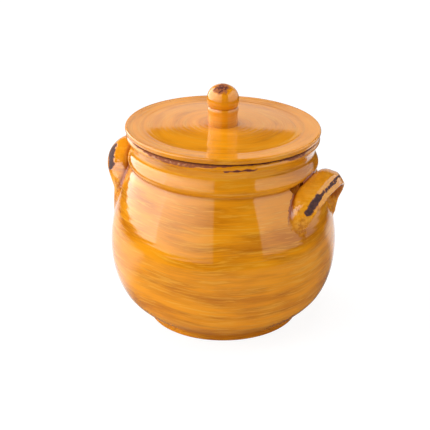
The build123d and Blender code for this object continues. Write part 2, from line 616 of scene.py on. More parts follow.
@dataclass
class ThrownPot:
    """The pot: foot, round belly, neck with a bead, a waist and a rolled lip, and its inside.

    Attributes:
        belly: Radius of the widest circle.
        rim: Height of the lip's top.
        steps: Facets round the pot.
        waviness: How far the wall wanders from a true circle.
        ring_depth: Depth of the throwing rings.
        ring_spacing: Height of one throwing ring.
        neck_knot: Number of the knot above which the outline's points lie closer.
        worn_lip: How far the lip is worn down all round, in millimetres.
        worn_places: The direction, the half width and the added depth of its deeper places,
            in degrees from the front to the right and in millimetres.
        chip_turns: Directions between which the crooked line of chips runs, in degrees.
        chip_drop: How far the line lies below the rim, in millimetres.
        chip_width: Half the line's width, in millimetres.
    """

    belly: float
    rim: float
    steps: int = 320
    waviness: float = 0.00022
    ring_depth: float = 0.00005
    ring_spacing: float = 0.0065
    neck_knot: int = 11
    worn_lip: float = 1.2
    worn_places: Sequence[Place] = ((-26.0, 18.0, 3.8), (46.0, 9.0, 2.6))
    chip_turns: tuple[float, float] = (0.0, 19.0)
    chip_drop: float = 5.9
    chip_width: float = 1.6

    def outside(self) -> list[Knot]:
        """The outline of the pot's outside.

        Returns:
            Its knots from the middle of the underside to the top of the lip.
        """
        belly, rim = self.belly / MM, self.rim / MM
        return [
            Knot(0.0, 2.6, 0.0),
            Knot(62.8, 2.6, 0.0, leaving=-45.0),
            Knot(65.2, 0.2, -45.0, leaving=-20.0),
            Knot(66.0, 0.0, 0.0),
            Knot(72.6, 0.0, 0.0),
            Knot(74.4, 1.8, 90.0),
            Knot(74.7, 3.6, 80.0),
            Knot(76.6, 6.3, 45.0),
            Knot(100.3, 30.9, 60.2),
            Knot(belly, 77.0, 89.6),
            Knot(101.9, rim - 62.0, 109.5),
            Knot(89.9, rim - 34.1, 116.8),
            Knot(89.8, rim - 32.2, 62.0, leaving=45.0),
            Knot(93.0, rim - 27.5, 88.2),
            Knot(89.5, rim - 17.0, 106.0),
            Knot(89.7, rim - 11.6, 66.0),
            Knot(93.1, rim - 5.2, 40.0),
            Knot(94.1, rim - 3.6, 90.0),
            Knot(89.7, rim, 180.0),
        ]

    def inside(self) -> list[Knot]:
        """The outline of the pot's inside, which the photograph doesn't show.

        Returns:
            Its knots from the top of the lip down to the middle of the floor.
        """
        belly, rim = self.belly / MM, self.rim / MM
        return [
            Knot(89.7, rim, 180.0),
            Knot(86.0, rim, 180.0),
            Knot(83.0, rim - 3.0, 270.0),
            Knot(83.0, rim - 33.0, 270.0, leaving=-62.0),
            Knot(95.9, rim - 62.0, -70.0),
            Knot(belly - 6.0, 77.0, -90.0),
            Knot(95.4, 33.9, -120.0),
            Knot(58.0, 9.6, -171.0),
            Knot(0.0, 9.6, 180.0),
        ]

    def hand_thrown(self, place: Vector) -> Vector:
        """Moves a point of the true form to where a hand-thrown wall has it.

        Args:
            place: The point of the true form.

        Returns:
            Its place in the uneven, leaning pot.
        """
        radius = from_axis(place)
        if radius < MM:
            return place
        wall = smooth_step(0.006, 0.03, place.z) * (1.0 - 0.7 * smooth_step(0.16, 0.186, place.z))
        spot = Vector((place.x * 9.0, place.y * 9.0, place.z * 16.0))
        wander = noise.noise(spot) * self.waviness
        phase = place.z / self.ring_spacing + 0.8 * noise.noise(spot * 0.7)
        rings = math.sin(phase * math.tau) * self.ring_depth
        grown = 1.0 + (wander + rings) * wall / radius
        return LEAN.settle(Vector((place.x * grown, place.y * grown, place.z)))

    def outer_points(self) -> list[Vector]:
        """Points along the outside, closer together on the neck than below it."""
        knots, neck = self.outside(), self.neck_knot
        return trace(knots[: neck + 1], 2.2 * MM) + trace(knots[neck:], 1.1 * MM)[1:]

    def thrown(self, points: Sequence[Vector]) -> bmesh.types.BMesh:
        """Turns an outline and makes its wall as uneven as a hand-thrown one.

        Args:
            points: The outline in the XZ plane.

        Returns:
            The closed form.
        """
        turned = spin_outline(points, self.steps)
        for vertex in turned.verts:
            vertex.co = self.hand_thrown(vertex.co)
        return turned

    def skin(self) -> bmesh.types.BMesh:
        """The whole pot as one closed skin."""
        return self.thrown(self.outer_points() + trace(self.inside(), 4.5 * MM)[1:])

    def blank(self) -> bmesh.types.BMesh:
        """The pot as a solid, before it is hollowed."""
        return self.thrown(self.outer_points() + [Vector((0.0, 0.0, self.rim))])

    def wear_at(self, place: Vector) -> float:
        """How worn the pot is at a point: the lip all round and chips below it, with a thin line of
        painted shadow right under the lid's edge.

        Args:
            place: A point of the finished pot.

        Returns:
            The wear, from 0 on whole glaze to about 1 on bare clay.
        """
        if from_axis(place) < 0.086:
            return 0.0
        seen = to_photo(place)
        below = (self.rim - LEAN.height(place)) / MM
        turn = math.degrees(math.atan2(seen.x, -seen.y))
        spread = noise.noise(Vector((place.x * 75.0, place.y * 75.0, 3.0)))
        flecks = noise.noise(Vector((place.x * 150.0, place.y * 150.0, 8.0)))
        depth = self.worn_lip + 0.8 * spread
        for middle, half, deeper in self.worn_places:
            depth += deeper * hump(middle, half, turn)
        band = 0.56 * (1.0 - smooth_step(depth - 0.9, depth + 0.5, below))
        fringe = 0.45 * hump(depth - 0.1, 0.5, below) * smooth_step(0.0, 0.3, flecks)
        # Painted shadow where the lid's edge overhangs the lip, laid over the lip's worn top.
        rim = 0.26 * (1.0 - smooth_step(0.3, 0.9, below))
        return max(band + fringe + rim, self.chipped_line(turn, below, place))

    def chipped_line(self, turn: float, below: float, place: Vector) -> float:
        """How worn the pot is along the crooked line of chips at the front of its lip.

        Args:
            turn: The point's direction in degrees, from the front to the right.
            below: How far it lies below the rim, in millimetres.
            place: The point itself.

        Returns:
            The wear.
        """
        crook = noise.noise(Vector((place.x * 170.0, place.y * 170.0, 21.0)))
        breaks = noise.noise(Vector((place.x * 260.0, place.y * 260.0, 5.0)))
        first, last = self.chip_turns
        begun = smooth_step(first - 2.0, first + 2.0, turn)
        stretch = begun * (1.0 - smooth_step(last - 2.0, last + 2.0, turn))
        line = hump(self.chip_drop + 2.6 * crook, self.chip_width, below)
        return stretch * (1.1 + 0.6 * breaks) * line

    def pool_at(self, place: Vector) -> float:
        """How thickly the glaze has gathered in the neck's crease, and the painted shade on the
        neck behind the straps.

        Args:
            place: A point of the finished pot.

        Returns:
            The darkening, where 1 is the darkest.
        """
        level = LEAN.height(place)
        if from_axis(place) < 0.07:
            return 0.0
        crease = 0.42 * hump(self.rim - 0.0332, 0.0016, level)
        round_the_side = math.degrees(math.atan2(abs(place.y), abs(place.x)))
        # Painted shade on the neck, in the shadowed gap behind each strap.
        upper = smooth_step(self.rim - 0.060, self.rim - 0.046, place.z)
        behind_strap = upper * (1.0 - smooth_step(self.rim - 0.031, self.rim - 0.026, level))
        return max(crease, 0.8 * behind_strap * (1.0 - smooth_step(4.0, 14.0, round_the_side)))

    def build(self) -> bpy.types.Object:
        """Builds the pot and marks its worn places, its gathered glaze and its painted shade.

        Returns:
            The finished pot.
        """
        piece = make_piece("pot", self.skin())
        paint(piece, "wear_and_shade", self.wear_at)
        paint(piece, "pool_and_shade", self.pool_at)
        seat(piece, "jar", "jar_body", "amber_glaze")
        return piece


def along_knots(rows: Sequence[Sequence[float]], position: float) -> list[float]:
    """Reads a smooth curve through rows of numbers.

    Args:
        rows: The rows the curve passes through.
        position: How far along it, from 0 at the first row to 1 at the last.

    Returns:
        The numbers there.
    """
    last = len(rows) - 1
    first = min(int(position * last), last - 1)
    share = position * last - first
    before, after = rows[max(first - 1, 0)], rows[min(first + 2, last)]
    values = []
    for a, b, c, d in zip(before, rows[first], rows[first + 1], after):
        bend = (2.0 * a - 5.0 * b + 4.0 * c - d) * share**2 + (3.0 * b - a - 3.0 * c + d) * share**3
        values.append(b + 0.5 * ((c - a) * share + bend))
    return values


@dataclass(frozen=True)
class WornStretch:
    """A stretch of a strap's face where the glaze has worn through.

    Attributes:
        start: Where it starts, as a share of the strap's length.
        end: Where it ends.
        strength: How worn it is.
        reach: How far it spreads to either side, in millimetres.
        across: Where it runs, as a share of the strap's width outwards from the middle.
    """

    start: float
    end: float
    strength: float
    reach: float
    across: float


@dataclass
class StrapHandle:
    """A pulled strap handle, bent over the shoulder and smeared on at both feet.

    Each station is reach out from the axis, slide along the pot, height, width across the
    face, thickness and downward lean, in millimetres and degrees.

    Attributes:
        side: Which side it stands on.
        stations: The strap from the end of one foot to the end of the other.
        worn: The worn stretches of its face.
        ridge: Height of the ridge along the strap.
        edge_drop: How far the outer edge is pressed down, as a share of the thickness.
        squareness: How square the section is, where 2 is an ellipse.
        grain: Size of the clay grains that join the strap to the shoulder.
        skirt: How far the smeared clay reaches over the shoulder.
        sunk_edge: How far the skirt's edge lies under the pot's surface.
        foot_depth: How far inside the pot's wall each foot is closed.
        smeared_below: Height below which the feet are smeared into the shoulder.
        tuck: How far from the pot the strap's inner edge gets painted shade.
        smear: How much darker a strip beside the front foot's lower end is made.
        hollow: The middle of the finger hole; the strap's underside facing it gets painted shade.
        samples: Rings along the strap.
        facets: Points round its section.
        unevenness: How far the pulled clay wanders.
    """

    side: Side
    stations: Sequence[Sequence[float]]
    worn: Sequence[WornStretch]
    ridge: float = 0.0006
    edge_drop: float = 0.33
    squareness: float = 2.6
    grain: float = 0.0008
    skirt: float = 0.007
    sunk_edge: float = 0.00030
    foot_depth: float = 0.0025
    smeared_below: float = 0.133
    tuck: float = 0.0042
    smear: float = 0.0
    hollow: Place = (0.104, 0.0, 0.125)
    samples: int = 64
    facets: int = 48
    unevenness: float = 0.00025

    def facing(self) -> Matrix:
        """Turns the right-hand side of the jar to the strap's own side."""
        half_turn = 0.0 if self.side is Side.RIGHT else math.pi
        return Matrix.Rotation(half_turn, 3, "Z")

    def section(
        self, turn: float, width: float, thick: float, position: float
    ) -> tuple[float, float]:
        """A point of the strap's section: across its face and off its middle.

        Args:
            turn: Angle round the section.
            width: The section's width.
            thick: The section's thickness.
            position: Share of the strap's length.

        Returns:
            Distance outwards across the face, and distance up from the middle.
        """
        power = 2.0 / self.squareness
        across = math.copysign(abs(math.cos(turn)) ** power, math.cos(turn)) * width / 2.0
        up = math.copysign(abs(math.sin(turn)) ** power, math.sin(turn)) * thick / 2.0
        if up > 0.0:
            share = across / width
            crest = 0.08 - 0.36 * smooth_step(0.15, 0.8, abs(2.0 * position - 1.0))
            up += self.ridge * hump(crest, 0.10, share)
            up -= self.edge_drop * thick * smooth_step(crest, 0.52, share)
        return across, up

    def cross_frame(self, position: float) -> tuple[Vector, Vector, Vector, float, float]:
        """The strap's middle and directions at a share of its length.

        Args:
            position: Share of the strap's length.

        Returns:
            The middle, the directions across and off the face, the width and the thickness.
        """
        here = along_knots(self.stations, position)
        ahead = along_knots(self.stations, min(position + 0.01, 1.0))
        behind = along_knots(self.stations, max(position - 0.01, 0.0))
        along = (Vector(ahead[:3]) - Vector(behind[:3])).normalized()
        lean = math.radians(here[5])
        across = Vector((math.cos(lean), 0.0, -math.sin(lean)))
        across = (across - along * across.dot(along)).normalized()
        off = across.cross(along)
        middle = Vector(here[:3]) * MM
        return middle, across, off, here[3] * MM, here[4] * MM

    def strap(self) -> bmesh.types.BMesh:
        """The bent strap by itself: one section drawn along the arch and capped.

        Returns:
            The strap as a closed form.
        """
        drawn = bmesh.new()
        turns = drawn.verts.layers.float.new("turn")
        made = bmesh.ops.create_circle(drawn, cap_ends=False, segments=self.facets, radius=1.0)
        ring = made["verts"]
        for vertex in ring:
            vertex[turns] = math.atan2(vertex.co.y, vertex.co.x)
        for sample in range(self.samples + 1):
            if sample:
                edges = list({edge for vertex in ring for edge in vertex.link_edges})
                edges = [edge for edge in edges if all(end in ring for end in edge.verts)]
                grown = bmesh.ops.extrude_edge_only(drawn, edges=edges)
                ring = [item for item in grown["geom"] if isinstance(item, bmesh.types.BMVert)]
            self.place_ring(ring, turns, sample / self.samples)
        bmesh.ops.holes_fill(drawn, edges=[edge for edge in drawn.edges if edge.is_boundary])
        bmesh.ops.recalc_face_normals(drawn, faces=drawn.faces)
        return drawn

    def place_ring(
        self, ring: Sequence[bmesh.types.BMVert], turns: bmesh.types.BMLayerItem, position: float
    ) -> None:
        """Moves one ring of the strap to its place, with the unevenness of pulled clay.

        Args:
            ring: The ring's points.
            turns: The layer that holds each point's angle round the section.
            position: Share of the strap's length.
        """
        middle, across, off, width, thick = self.cross_frame(position)
        facing = self.facing()
        for vertex in ring:
            sideways, up = self.section(vertex[turns], width, thick, position)
            place = facing @ (middle + across * sideways + off * up)
            shift = noise.noise_vector(place * 55.0) * self.unevenness
            vertex.co = LEAN.settle(place + shift)

    def shoulder(self, blank: bmesh.types.BMesh) -> bmesh.types.BMesh:
        """The part of the solid pot that the strap stands on, cut out of it.

        Args:
            blank: The pot as a solid, which is left as it is.

        Returns:
            A closed block of the shoulder.
        """
        block = blank.copy()
        out = self.facing() @ Vector((1.0, 0.0, 0.0))
        side = self.facing() @ Vector((0.0, 1.0, 0.0))
        up = Vector((0.0, 0.0, 1.0))
        cuts = (
            (out * 0.055, -out),
            (side * 0.070, side),
            (side * -0.070, -side),
            (up * 0.080, -up),
            (up * 0.176, up),
        )
        for place, direction in cuts:
            geometry = list(block.verts) + list(block.edges) + list(block.faces)
            plane = {"plane_co": place, "plane_no": direction}
            bmesh.ops.bisect_plane(block, geom=geometry, dist=1e-7, clear_outer=True, **plane)
            open_edges = [edge for edge in block.edges if edge.is_boundary]
            bmesh.ops.holes_fill(block, edges=open_edges)
        bmesh.ops.recalc_face_normals(block, faces=block.faces)
        return block

    def joined(self, strap: bmesh.types.BMesh, block: bmesh.types.BMesh) -> bmesh.types.BMesh:
        """Joins the strap and the shoulder into one skin of clay.

        Args:
            strap: The strap.
            block: The shoulder that it stands on.

        Returns:
            One closed skin round both.
        """
        both = bmesh.new()
        for part in (strap, block):
            mesh = bpy.data.meshes.new("part")
            part.to_mesh(mesh)
            both.from_mesh(mesh)
            bpy.data.meshes.remove(mesh)
        clay = make_piece("clay", both)
        press = clay.modifiers.new("press", "REMESH")
        press.mode = "VOXEL"
        press.voxel_size = self.grain
        skin = bmesh.new()
        skin.from_object(clay, bpy.context.evaluated_depsgraph_get())
        mesh = clay.data
        bpy.data.objects.remove(clay)
        bpy.data.meshes.remove(mesh)
        return skin

    def build(self, blank: bmesh.types.BMesh) -> bpy.types.Object:
        """Builds the handle with its smeared feet and marks its worn places, its gathered glaze and
        its painted shade.

        Args:
            blank: The pot as a solid.

        Returns:
            The finished handle.
        """
        strap, block = self.strap(), self.shoulder(blank)
        on_strap, on_pot = BVHTree.FromBMesh(strap), BVHTree.FromBMesh(block)
        skin = self.joined(strap, block)
        self.smooth(skin, skin.verts, rounds=5)
        self.soften_seam(skin, on_strap, on_pot)
        self.trim(skin, on_strap, on_pot)
        self.close_feet(skin, on_pot)
        node = "handle_" + self.side.name.lower()
        piece = make_piece(node + "_pulled", skin)
        paths = [(stretch, self.worn_path(stretch)) for stretch in self.worn]
        paint(piece, "wear_and_shade", lambda place: self.wear_at(place, paths))
        paint(piece, "pool_and_shade", lambda place: self.pool_at(place, on_strap, on_pot))
        paint(piece, "lumps", self.lumps_at)
        seat(piece, "jar", node, "handle_glaze")
        strap.free()
        block.free()
        return piece

    def smooth(
        self, skin: bmesh.types.BMesh, verts: Sequence[bmesh.types.BMVert], rounds: int
    ) -> None:
        """Evens out some of the clay's points.

        Args:
            skin: The clay.
            verts: The points.
            rounds: How many times they are evened out.
        """
        axes = {"use_axis_x": True, "use_axis_y": True, "use_axis_z": True}
        for _ in range(rounds):
            bmesh.ops.smooth_vert(skin, verts=verts, factor=0.5, **axes)

    def soften_seam(self, skin: bmesh.types.BMesh, on_strap: BVHTree, on_pot: BVHTree) -> None:
        """Rounds the lower part of the corner where the strap meets the shoulder.

        Args:
            skin: The joined clay.
            on_strap: The strap's surface.
            on_pot: The pot's surface.
        """
        for reach, rounds in ((0.0045, 6), (0.0028, 14), (0.0014, 10)):
            seam = [
                vertex
                for vertex in skin.verts
                if vertex.co.z < self.smeared_below
                and on_strap.find_nearest(vertex.co, reach)[0]
                and on_pot.find_nearest(vertex.co, reach)[0]
            ]
            self.smooth(skin, seam, rounds)

    def height_over(self, place: Vector, surface: BVHTree) -> float:
        """How far a place is outside a closed surface, or inside it where negative."""
        near, normal, _, distance = surface.find_nearest(place)
        return math.copysign(distance, (place - near).dot(normal))

    def seam(self, over: dict[bmesh.types.BMVert, float], on_strap: BVHTree) -> KDTree:
        """Finds the seam where the strap meets the pot.

        Args:
            over: How far each point of the clay is outside the pot.
            on_strap: The strap's surface.

        Returns:
            The places of the points on the seam.
        """
        reach = 1.6 * self.grain
        close = [vertex for vertex, height in over.items() if abs(height) < reach]
        found = [vertex for vertex in close if abs(self.height_over(vertex.co, on_strap)) < reach]
        tree = KDTree(len(found))
        for number, vertex in enumerate(found):
            tree.insert(vertex.co, number)
        tree.balance()
        return tree

    def trim(self, skin: bmesh.types.BMesh, on_strap: BVHTree, on_pot: BVHTree) -> None:
        """Leaves the strap and a skirt round its feet, and sinks the skirt's edge.

        Args:
            skin: The joined clay.
            on_strap: The strap's surface.
            on_pot: The pot's surface.
        """
        over = {vertex: self.height_over(vertex.co, on_pot) for vertex in skin.verts}
        seam = self.seam(over, on_strap)
        away = {vertex: seam.find(vertex.co)[2] for vertex in skin.verts}
        low = [vertex for vertex in skin.verts if over[vertex] < 0.6 * MM]
        spare = [vertex for vertex in low if away[vertex] > self.skirt]
        for vertex in low:
            if away[vertex] <= self.skirt:
                share = smooth_step(0.25 * self.skirt, self.skirt, away[vertex])
                normal = on_pot.find_nearest(vertex.co)[1]
                vertex.co -= normal * (self.sunk_edge * share)
        bmesh.ops.delete(skin, geom=spare, context="VERTS")
        self.drop_scraps(skin)

    def drop_scraps(self, skin: bmesh.types.BMesh) -> None:
        """Deletes every scrap of clay that doesn't hang together with the strap's crown.

        Args:
            skin: The trimmed clay.
        """
        crown = max(skin.faces, key=lambda face: face.calc_center_median().z)
        found, waiting = {crown}, [crown]
        while waiting:
            beside = {face for edge in waiting.pop().edges for face in edge.link_faces}
            waiting += beside - found
            found |= beside
        scraps = [face for face in skin.faces if face not in found]
        bmesh.ops.delete(skin, geom=scraps, context="FACES")
        bare = [edge for edge in skin.edges if edge.is_wire]
        bmesh.ops.delete(skin, geom=bare, context="EDGES")
        loose = [vertex for vertex in skin.verts if not vertex.link_faces]
        bmesh.ops.delete(skin, geom=loose, context="VERTS")

    def close_feet(self, skin: bmesh.types.BMesh, on_pot: BVHTree) -> None:
        """Closes each foot inside the pot's wall.

        Args:
            skin: The trimmed clay.
            on_pot: The pot's surface.
        """
        edges = [edge for edge in skin.edges if edge.is_boundary]
        caps = bmesh.ops.holes_fill(skin, edges=edges)["faces"]
        middles = bmesh.ops.poke(skin, faces=caps)["verts"]
        for vertex in middles:
            near, normal, _, _ = on_pot.find_nearest(vertex.co)
            vertex.co = near - normal * self.foot_depth
        bmesh.ops.recalc_face_normals(skin, faces=skin.faces)

    def worn_path(self, stretch: WornStretch) -> list[Vector]:
        """Follows the middle of a worn stretch over the strap's face.

        Args:
            stretch: The worn stretch.

        Returns:
            Points along it.
        """
        turn = math.acos((2.0 * stretch.across) ** (self.squareness / 2.0))
        path, steps = [], 16
        for sample in range(steps + 1):
            position = stretch.start + (stretch.end - stretch.start) * sample / steps
            middle, across, off, width, thick = self.cross_frame(position)
            sideways, up = self.section(turn, width, thick, position)
            path.append(LEAN.settle(self.facing() @ (middle + across * sideways + off * up)))
        return path

    def wear_at(self, place: Vector, paths: Sequence[tuple[WornStretch, list[Vector]]]) -> float:
        """How worn the strap is at a point of it.

        Args:
            place: The point.
            paths: The worn stretches with the points along each.

        Returns:
            The wear, from 0 on whole glaze to about 1 on bare clay.
        """
        ragged = (1.5 * noise.noise(place * 170.0) + 0.9 * noise.noise(place * 420.0)) * MM
        worn = 0.0
        for stretch, path in paths:
            distance = min((place - spot).length for spot in path) + ragged
            near = 1.0 - smooth_step(0.3 * stretch.reach * MM, stretch.reach * MM, distance)
            worn = max(worn, stretch.strength * near)
        return worn

    def pool_at(self, place: Vector, on_strap: BVHTree, on_pot: BVHTree) -> float:
        """How thickly the glaze has gathered in the strap's seam, and the painted shade on the
        strap beside the neck and under it.

        Args:
            place: The point.
            on_strap: The strap's surface.
            on_pot: The pot's surface.

        Returns:
            The darkening, where 1 is the darkest.
        """
        strap = abs(self.height_over(place, on_strap))
        pot = abs(self.height_over(place, on_pot))
        # Glaze gathered in the seam where strap meets pot, with painted shade in that corner.
        corner = 1.0 - smooth_step(0.5 * MM, 3.2 * MM, max(strap, pot))
        # Painted shade on the strap's upper inner edge, in the gap beside the neck.
        beside_pot = 1.0 - smooth_step(1.2 * MM, self.tuck, pot)
        tucked = 0.80 * beside_pot * smooth_step(0.124, 0.138, place.z)
        return 0.20 * corner + max(tucked, self.shade_under(place, on_strap), self.darkening_beside_foot(place))

    def shade_under(self, place: Vector, on_strap: BVHTree) -> float:
        """How much painted shade lies on the strap's underside, which faces the finger hole.

        Args:
            place: A point of the strap.
            on_strap: The strap's surface.

        Returns:
            The painted shade, where 1 is the darkest.
        """
        hollow = self.facing() @ Vector(self.hollow)
        inwards = on_strap.find_nearest(place)[1].dot((hollow - place).normalized())
        # Painted shade on the strap's underside above its feet, where the finger hole lies in
        # shadow.
        return 0.8 * smooth_step(0.25, 0.85, inwards) * smooth_step(0.122, 0.132, place.z)

    def darkening_beside_foot(self, place: Vector) -> float:
        """How much darker a strip beside the front foot's lower end is made.

        Args:
            place: A point of the strap.

        Returns:
            The darkening, where 1 is the darkest.
        """
        seen = to_photo(place)
        if seen.y >= 0.0:
            return 0.0
        level = hump(0.111, 0.009, place.z)
        beside = smooth_step(0.05, 0.06, seen.x) * (1.0 - smooth_step(0.067, 0.073, seen.x))
        return self.smear * level * beside

    def lumps_at(self, place: Vector) -> float:
        """How lumpy the clay is at a point: most where the feet were pressed on."""
        pressed = smooth_step(0.106, 0.118, place.z)
        return pressed * (1.0 - 0.75 * smooth_step(0.136, 0.150, place.z))


@dataclass
class TurnedLid:
    """The flat lid: a locating ring under it, a rolled edge, a dished flange and a low dome.

    Attributes:
        radius: Radius of its edge.
        seat: Height of the rim it rests on.
        steps: Facets round the lid.
        waviness: How far its top wanders from true.
        ring_depth: Depth of the turning rings.
        ring_spacing: Width of one turning ring.
        valley: How far inside the edge the glaze gathers in the flange's valley.
        stem: Radius of the ring of glaze round the knob's foot.
    """

    radius: float
    seat: float
    steps: int = 216
    waviness: float = 0.00012
    ring_depth: float = 0.00003
    ring_spacing: float = 0.0052
    valley: float = 0.0170
    stem: float = 0.0146

    def outline(self) -> list[Knot]:
        """The outline of the whole lid.

        Returns:
            Its knots from the middle of the underside round to the middle of the top.
        """
        edge, seat = self.radius / MM, self.seat / MM
        return [
            Knot(0.0, seat + 3.1, 0.0),
            Knot(edge - 18.5, seat + 3.1, 0.0, leaving=-90.0),
            Knot(edge - 18.5, seat - 5.8, -90.0),
            Knot(edge - 17.3, seat - 7.0, 0.0),
            Knot(edge - 14.7, seat - 7.0, 0.0),
            Knot(edge - 13.5, seat - 5.8, 90.0),
            Knot(edge - 13.5, seat - 0.6, 90.0),
            Knot(edge - 12.9, seat, 0.0),
            Knot(edge - 4.6, seat, 0.0),
            Knot(edge - 0.7, seat + 2.2, 70.0),
            Knot(edge, seat + 4.7, 90.0),
            Knot(edge - 1.5, seat + 6.6, 182.0),
            Knot(edge - 4.0, seat + 6.5, 181.6),
            Knot(edge - 14.5, seat + 6.26, 181.2),
            Knot(edge - 19.0, seat + 6.2, 179.4),
            Knot(edge - 24.5, seat + 6.36, 177.2),
            Knot(edge - 31.0, seat + 6.78, 176.2),
            Knot(15.4, seat + 8.56, 179.0),
            Knot(0.0, seat + 8.7, 180.0),
        ]

    def hand_thrown(self, place: Vector) -> Vector:
        """Moves a point of the true lid to where the turned clay has it.

        Args:
            place: The point of the true lid.

        Returns:
            Its place in the uneven lid on the leaning rim.
        """
        spot = Vector((place.x * 22.0, place.y * 22.0, 7.0))
        wander = noise.noise(spot)
        top = smooth_step(self.seat + 2.0 * MM, self.seat + 4.0 * MM, place.z)
        phase = from_axis(place) / self.ring_spacing * math.tau + 1.6 * wander
        lift = (wander * self.waviness + math.sin(phase) * self.ring_depth) * top
        return LEAN.settle(place + Vector((0.0, 0.0, lift)))

    def wear_at(self, place: Vector) -> float:
        """How worn the lid is at a point: its lower edge, where it rubs on the rim.

        Args:
            place: A point of the finished lid.

        Returns:
            The wear, from 0 on whole glaze to about 1 on bare clay.
        """
        level = LEAN.height(place) - self.seat
        spread = noise.noise(Vector((place.x * 45.0, place.y * 45.0, 11.0)))
        low = 1.0 - smooth_step(0.3 * MM, (1.5 + 1.1 * spread) * MM, level)
        inner, outer = self.radius - 9.0 * MM, self.radius - 6.0 * MM
        return 0.8 * low * smooth_step(inner, outer, from_axis(place))

    def pool_at(self, place: Vector) -> float:
        """How thickly the glaze has gathered: in the valley and round the knob's foot.

        Args:
            place: A point of the finished lid.

        Returns:
            The thickness, where 1 is the darkest.
        """
        if place.z < self.seat + 3.0 * MM:
            return 0.0
        radius = from_axis(place)
        in_valley = 0.22 * hump(self.radius - self.valley, 1.5 * MM, radius)
        return in_valley + 0.30 * hump(self.stem, 1.2 * MM, radius)

    def build(self) -> bpy.types.Object:
        """Builds the lid and marks its wear and pooling.

        Returns:
            The finished lid.
        """
        turned = spin_outline(trace(self.outline(), 1.5 * MM), self.steps)
        for vertex in turned.verts:
            vertex.co = self.hand_thrown(vertex.co)
        piece = make_piece("lid_turned", turned)
        paint(piece, "wear_and_shade", self.wear_at)
        paint(piece, "pool_and_shade", self.pool_at)
        seat(piece, "lid", "lid", "lid_glaze")
        return piece


@dataclass
class BallKnob:
    """The knob: a ball over a groove and a small collar, on a straight stem.

    Attributes:
        foot: Height of the lid's top under it.
        ball: Radius of the ball.
        middle: Height of the ball's middle above the lid.
        groove: Height of the groove above the lid.
        steps: Facets round the knob.
        unevenness: How far the clay wanders from true.
        worn_towards: Where the worn crown faces, in the photograph's directions.
    """

    foot: float
    ball: float = 0.0156
    middle: float = 0.0242
    groove: float = 0.0178
    steps: int = 128
    unevenness: float = 0.00022
    worn_towards: Place = (-0.08, -0.42, 1.0)

    def outline(self) -> list[Knot]:
        """The outline of the knob, whose stem stands a little inside the lid.

        Returns:
            Its knots from the middle of the foot up to the ball's top.
        """
        foot, ball, middle = self.foot / MM, self.ball / MM, self.middle / MM
        return [
            Knot(0.0, foot - 0.9, 0.0),
            Knot(14.4, foot - 0.9, 0.0, leaving=90.0),
            Knot(14.35, foot + 3.4, 90.5),
            Knot(14.15, foot + 10.4, 86.0),
            Knot(14.7, foot + 13.3, 76.0),
            Knot(14.95, foot + 15.0, 92.0),
            Knot(14.5, foot + 16.8, 122.0),
            Knot(13.9, foot + 17.7, 114.0, leaving=74.0),
            Knot(14.2, foot + 18.5, 66.0),
            Knot(ball, foot + middle - 0.6, 90.0),
            Knot(ball * 0.955, foot + middle + 5.3, 108.0),
            Knot(ball * 0.75, foot + middle + 11.0, 138.0),
            Knot(0.0, foot + middle + ball, 180.0),
        ]

    def wear_at(self, place: Vector, crown: Vector) -> float:
        """How worn the knob is at its crown; below the ball, its groove is also darkened a little.

        Args:
            place: A point of the true knob.
            crown: The direction that the worn crown faces.

        Returns:
            The wear, from 0 on whole glaze to about 1 on bare clay.
        """
        off = place - Vector((0.0, 0.0, self.foot + self.middle))
        if off.z < 0.0:
            # Darkens the groove a little, raggedly.
            return 0.25 * hump(self.foot + self.groove, 0.9 * MM, place.z)
        spread = noise.noise(place * 160.0) * 10.0
        angle = math.degrees(off.angle(crown)) + spread
        return 0.84 * (1.0 - smooth_step(14.0, 46.0, angle))

    def pool_at(self, place: Vector) -> float:
        """How thickly the glaze has gathered in the groove and at the foot.

        Args:
            place: A point of the true knob.

        Returns:
            The thickness, where 1 is the darkest.
        """
        in_groove = 0.50 * hump(self.foot + self.groove + 0.1 * MM, 0.9 * MM, place.z)
        at_foot = 0.20 * (1.0 - smooth_step(0.2 * MM, 2.6 * MM, place.z - self.foot))
        return in_groove + at_foot

    def build(self) -> bpy.types.Object:
        """Builds the knob and marks its wear and pooling.

        Returns:
            The finished knob.
        """
        turned = spin_outline(trace(self.outline(), 0.8 * MM), self.steps)
        crown = from_photo(*self.worn_towards)
        piece = make_piece("knob_turned", turned)
        paint(piece, "wear_and_shade", lambda place: self.wear_at(place, crown))
        paint(piece, "pool_and_shade", self.pool_at)
        for vertex in piece.data.vertices:
            shift = noise.noise_vector(vertex.co * 60.0) * self.unevenness
            vertex.co = LEAN.settle(vertex.co + shift)
        seat(piece, "lid", "lid_knob", "knob_glaze")
        return piece


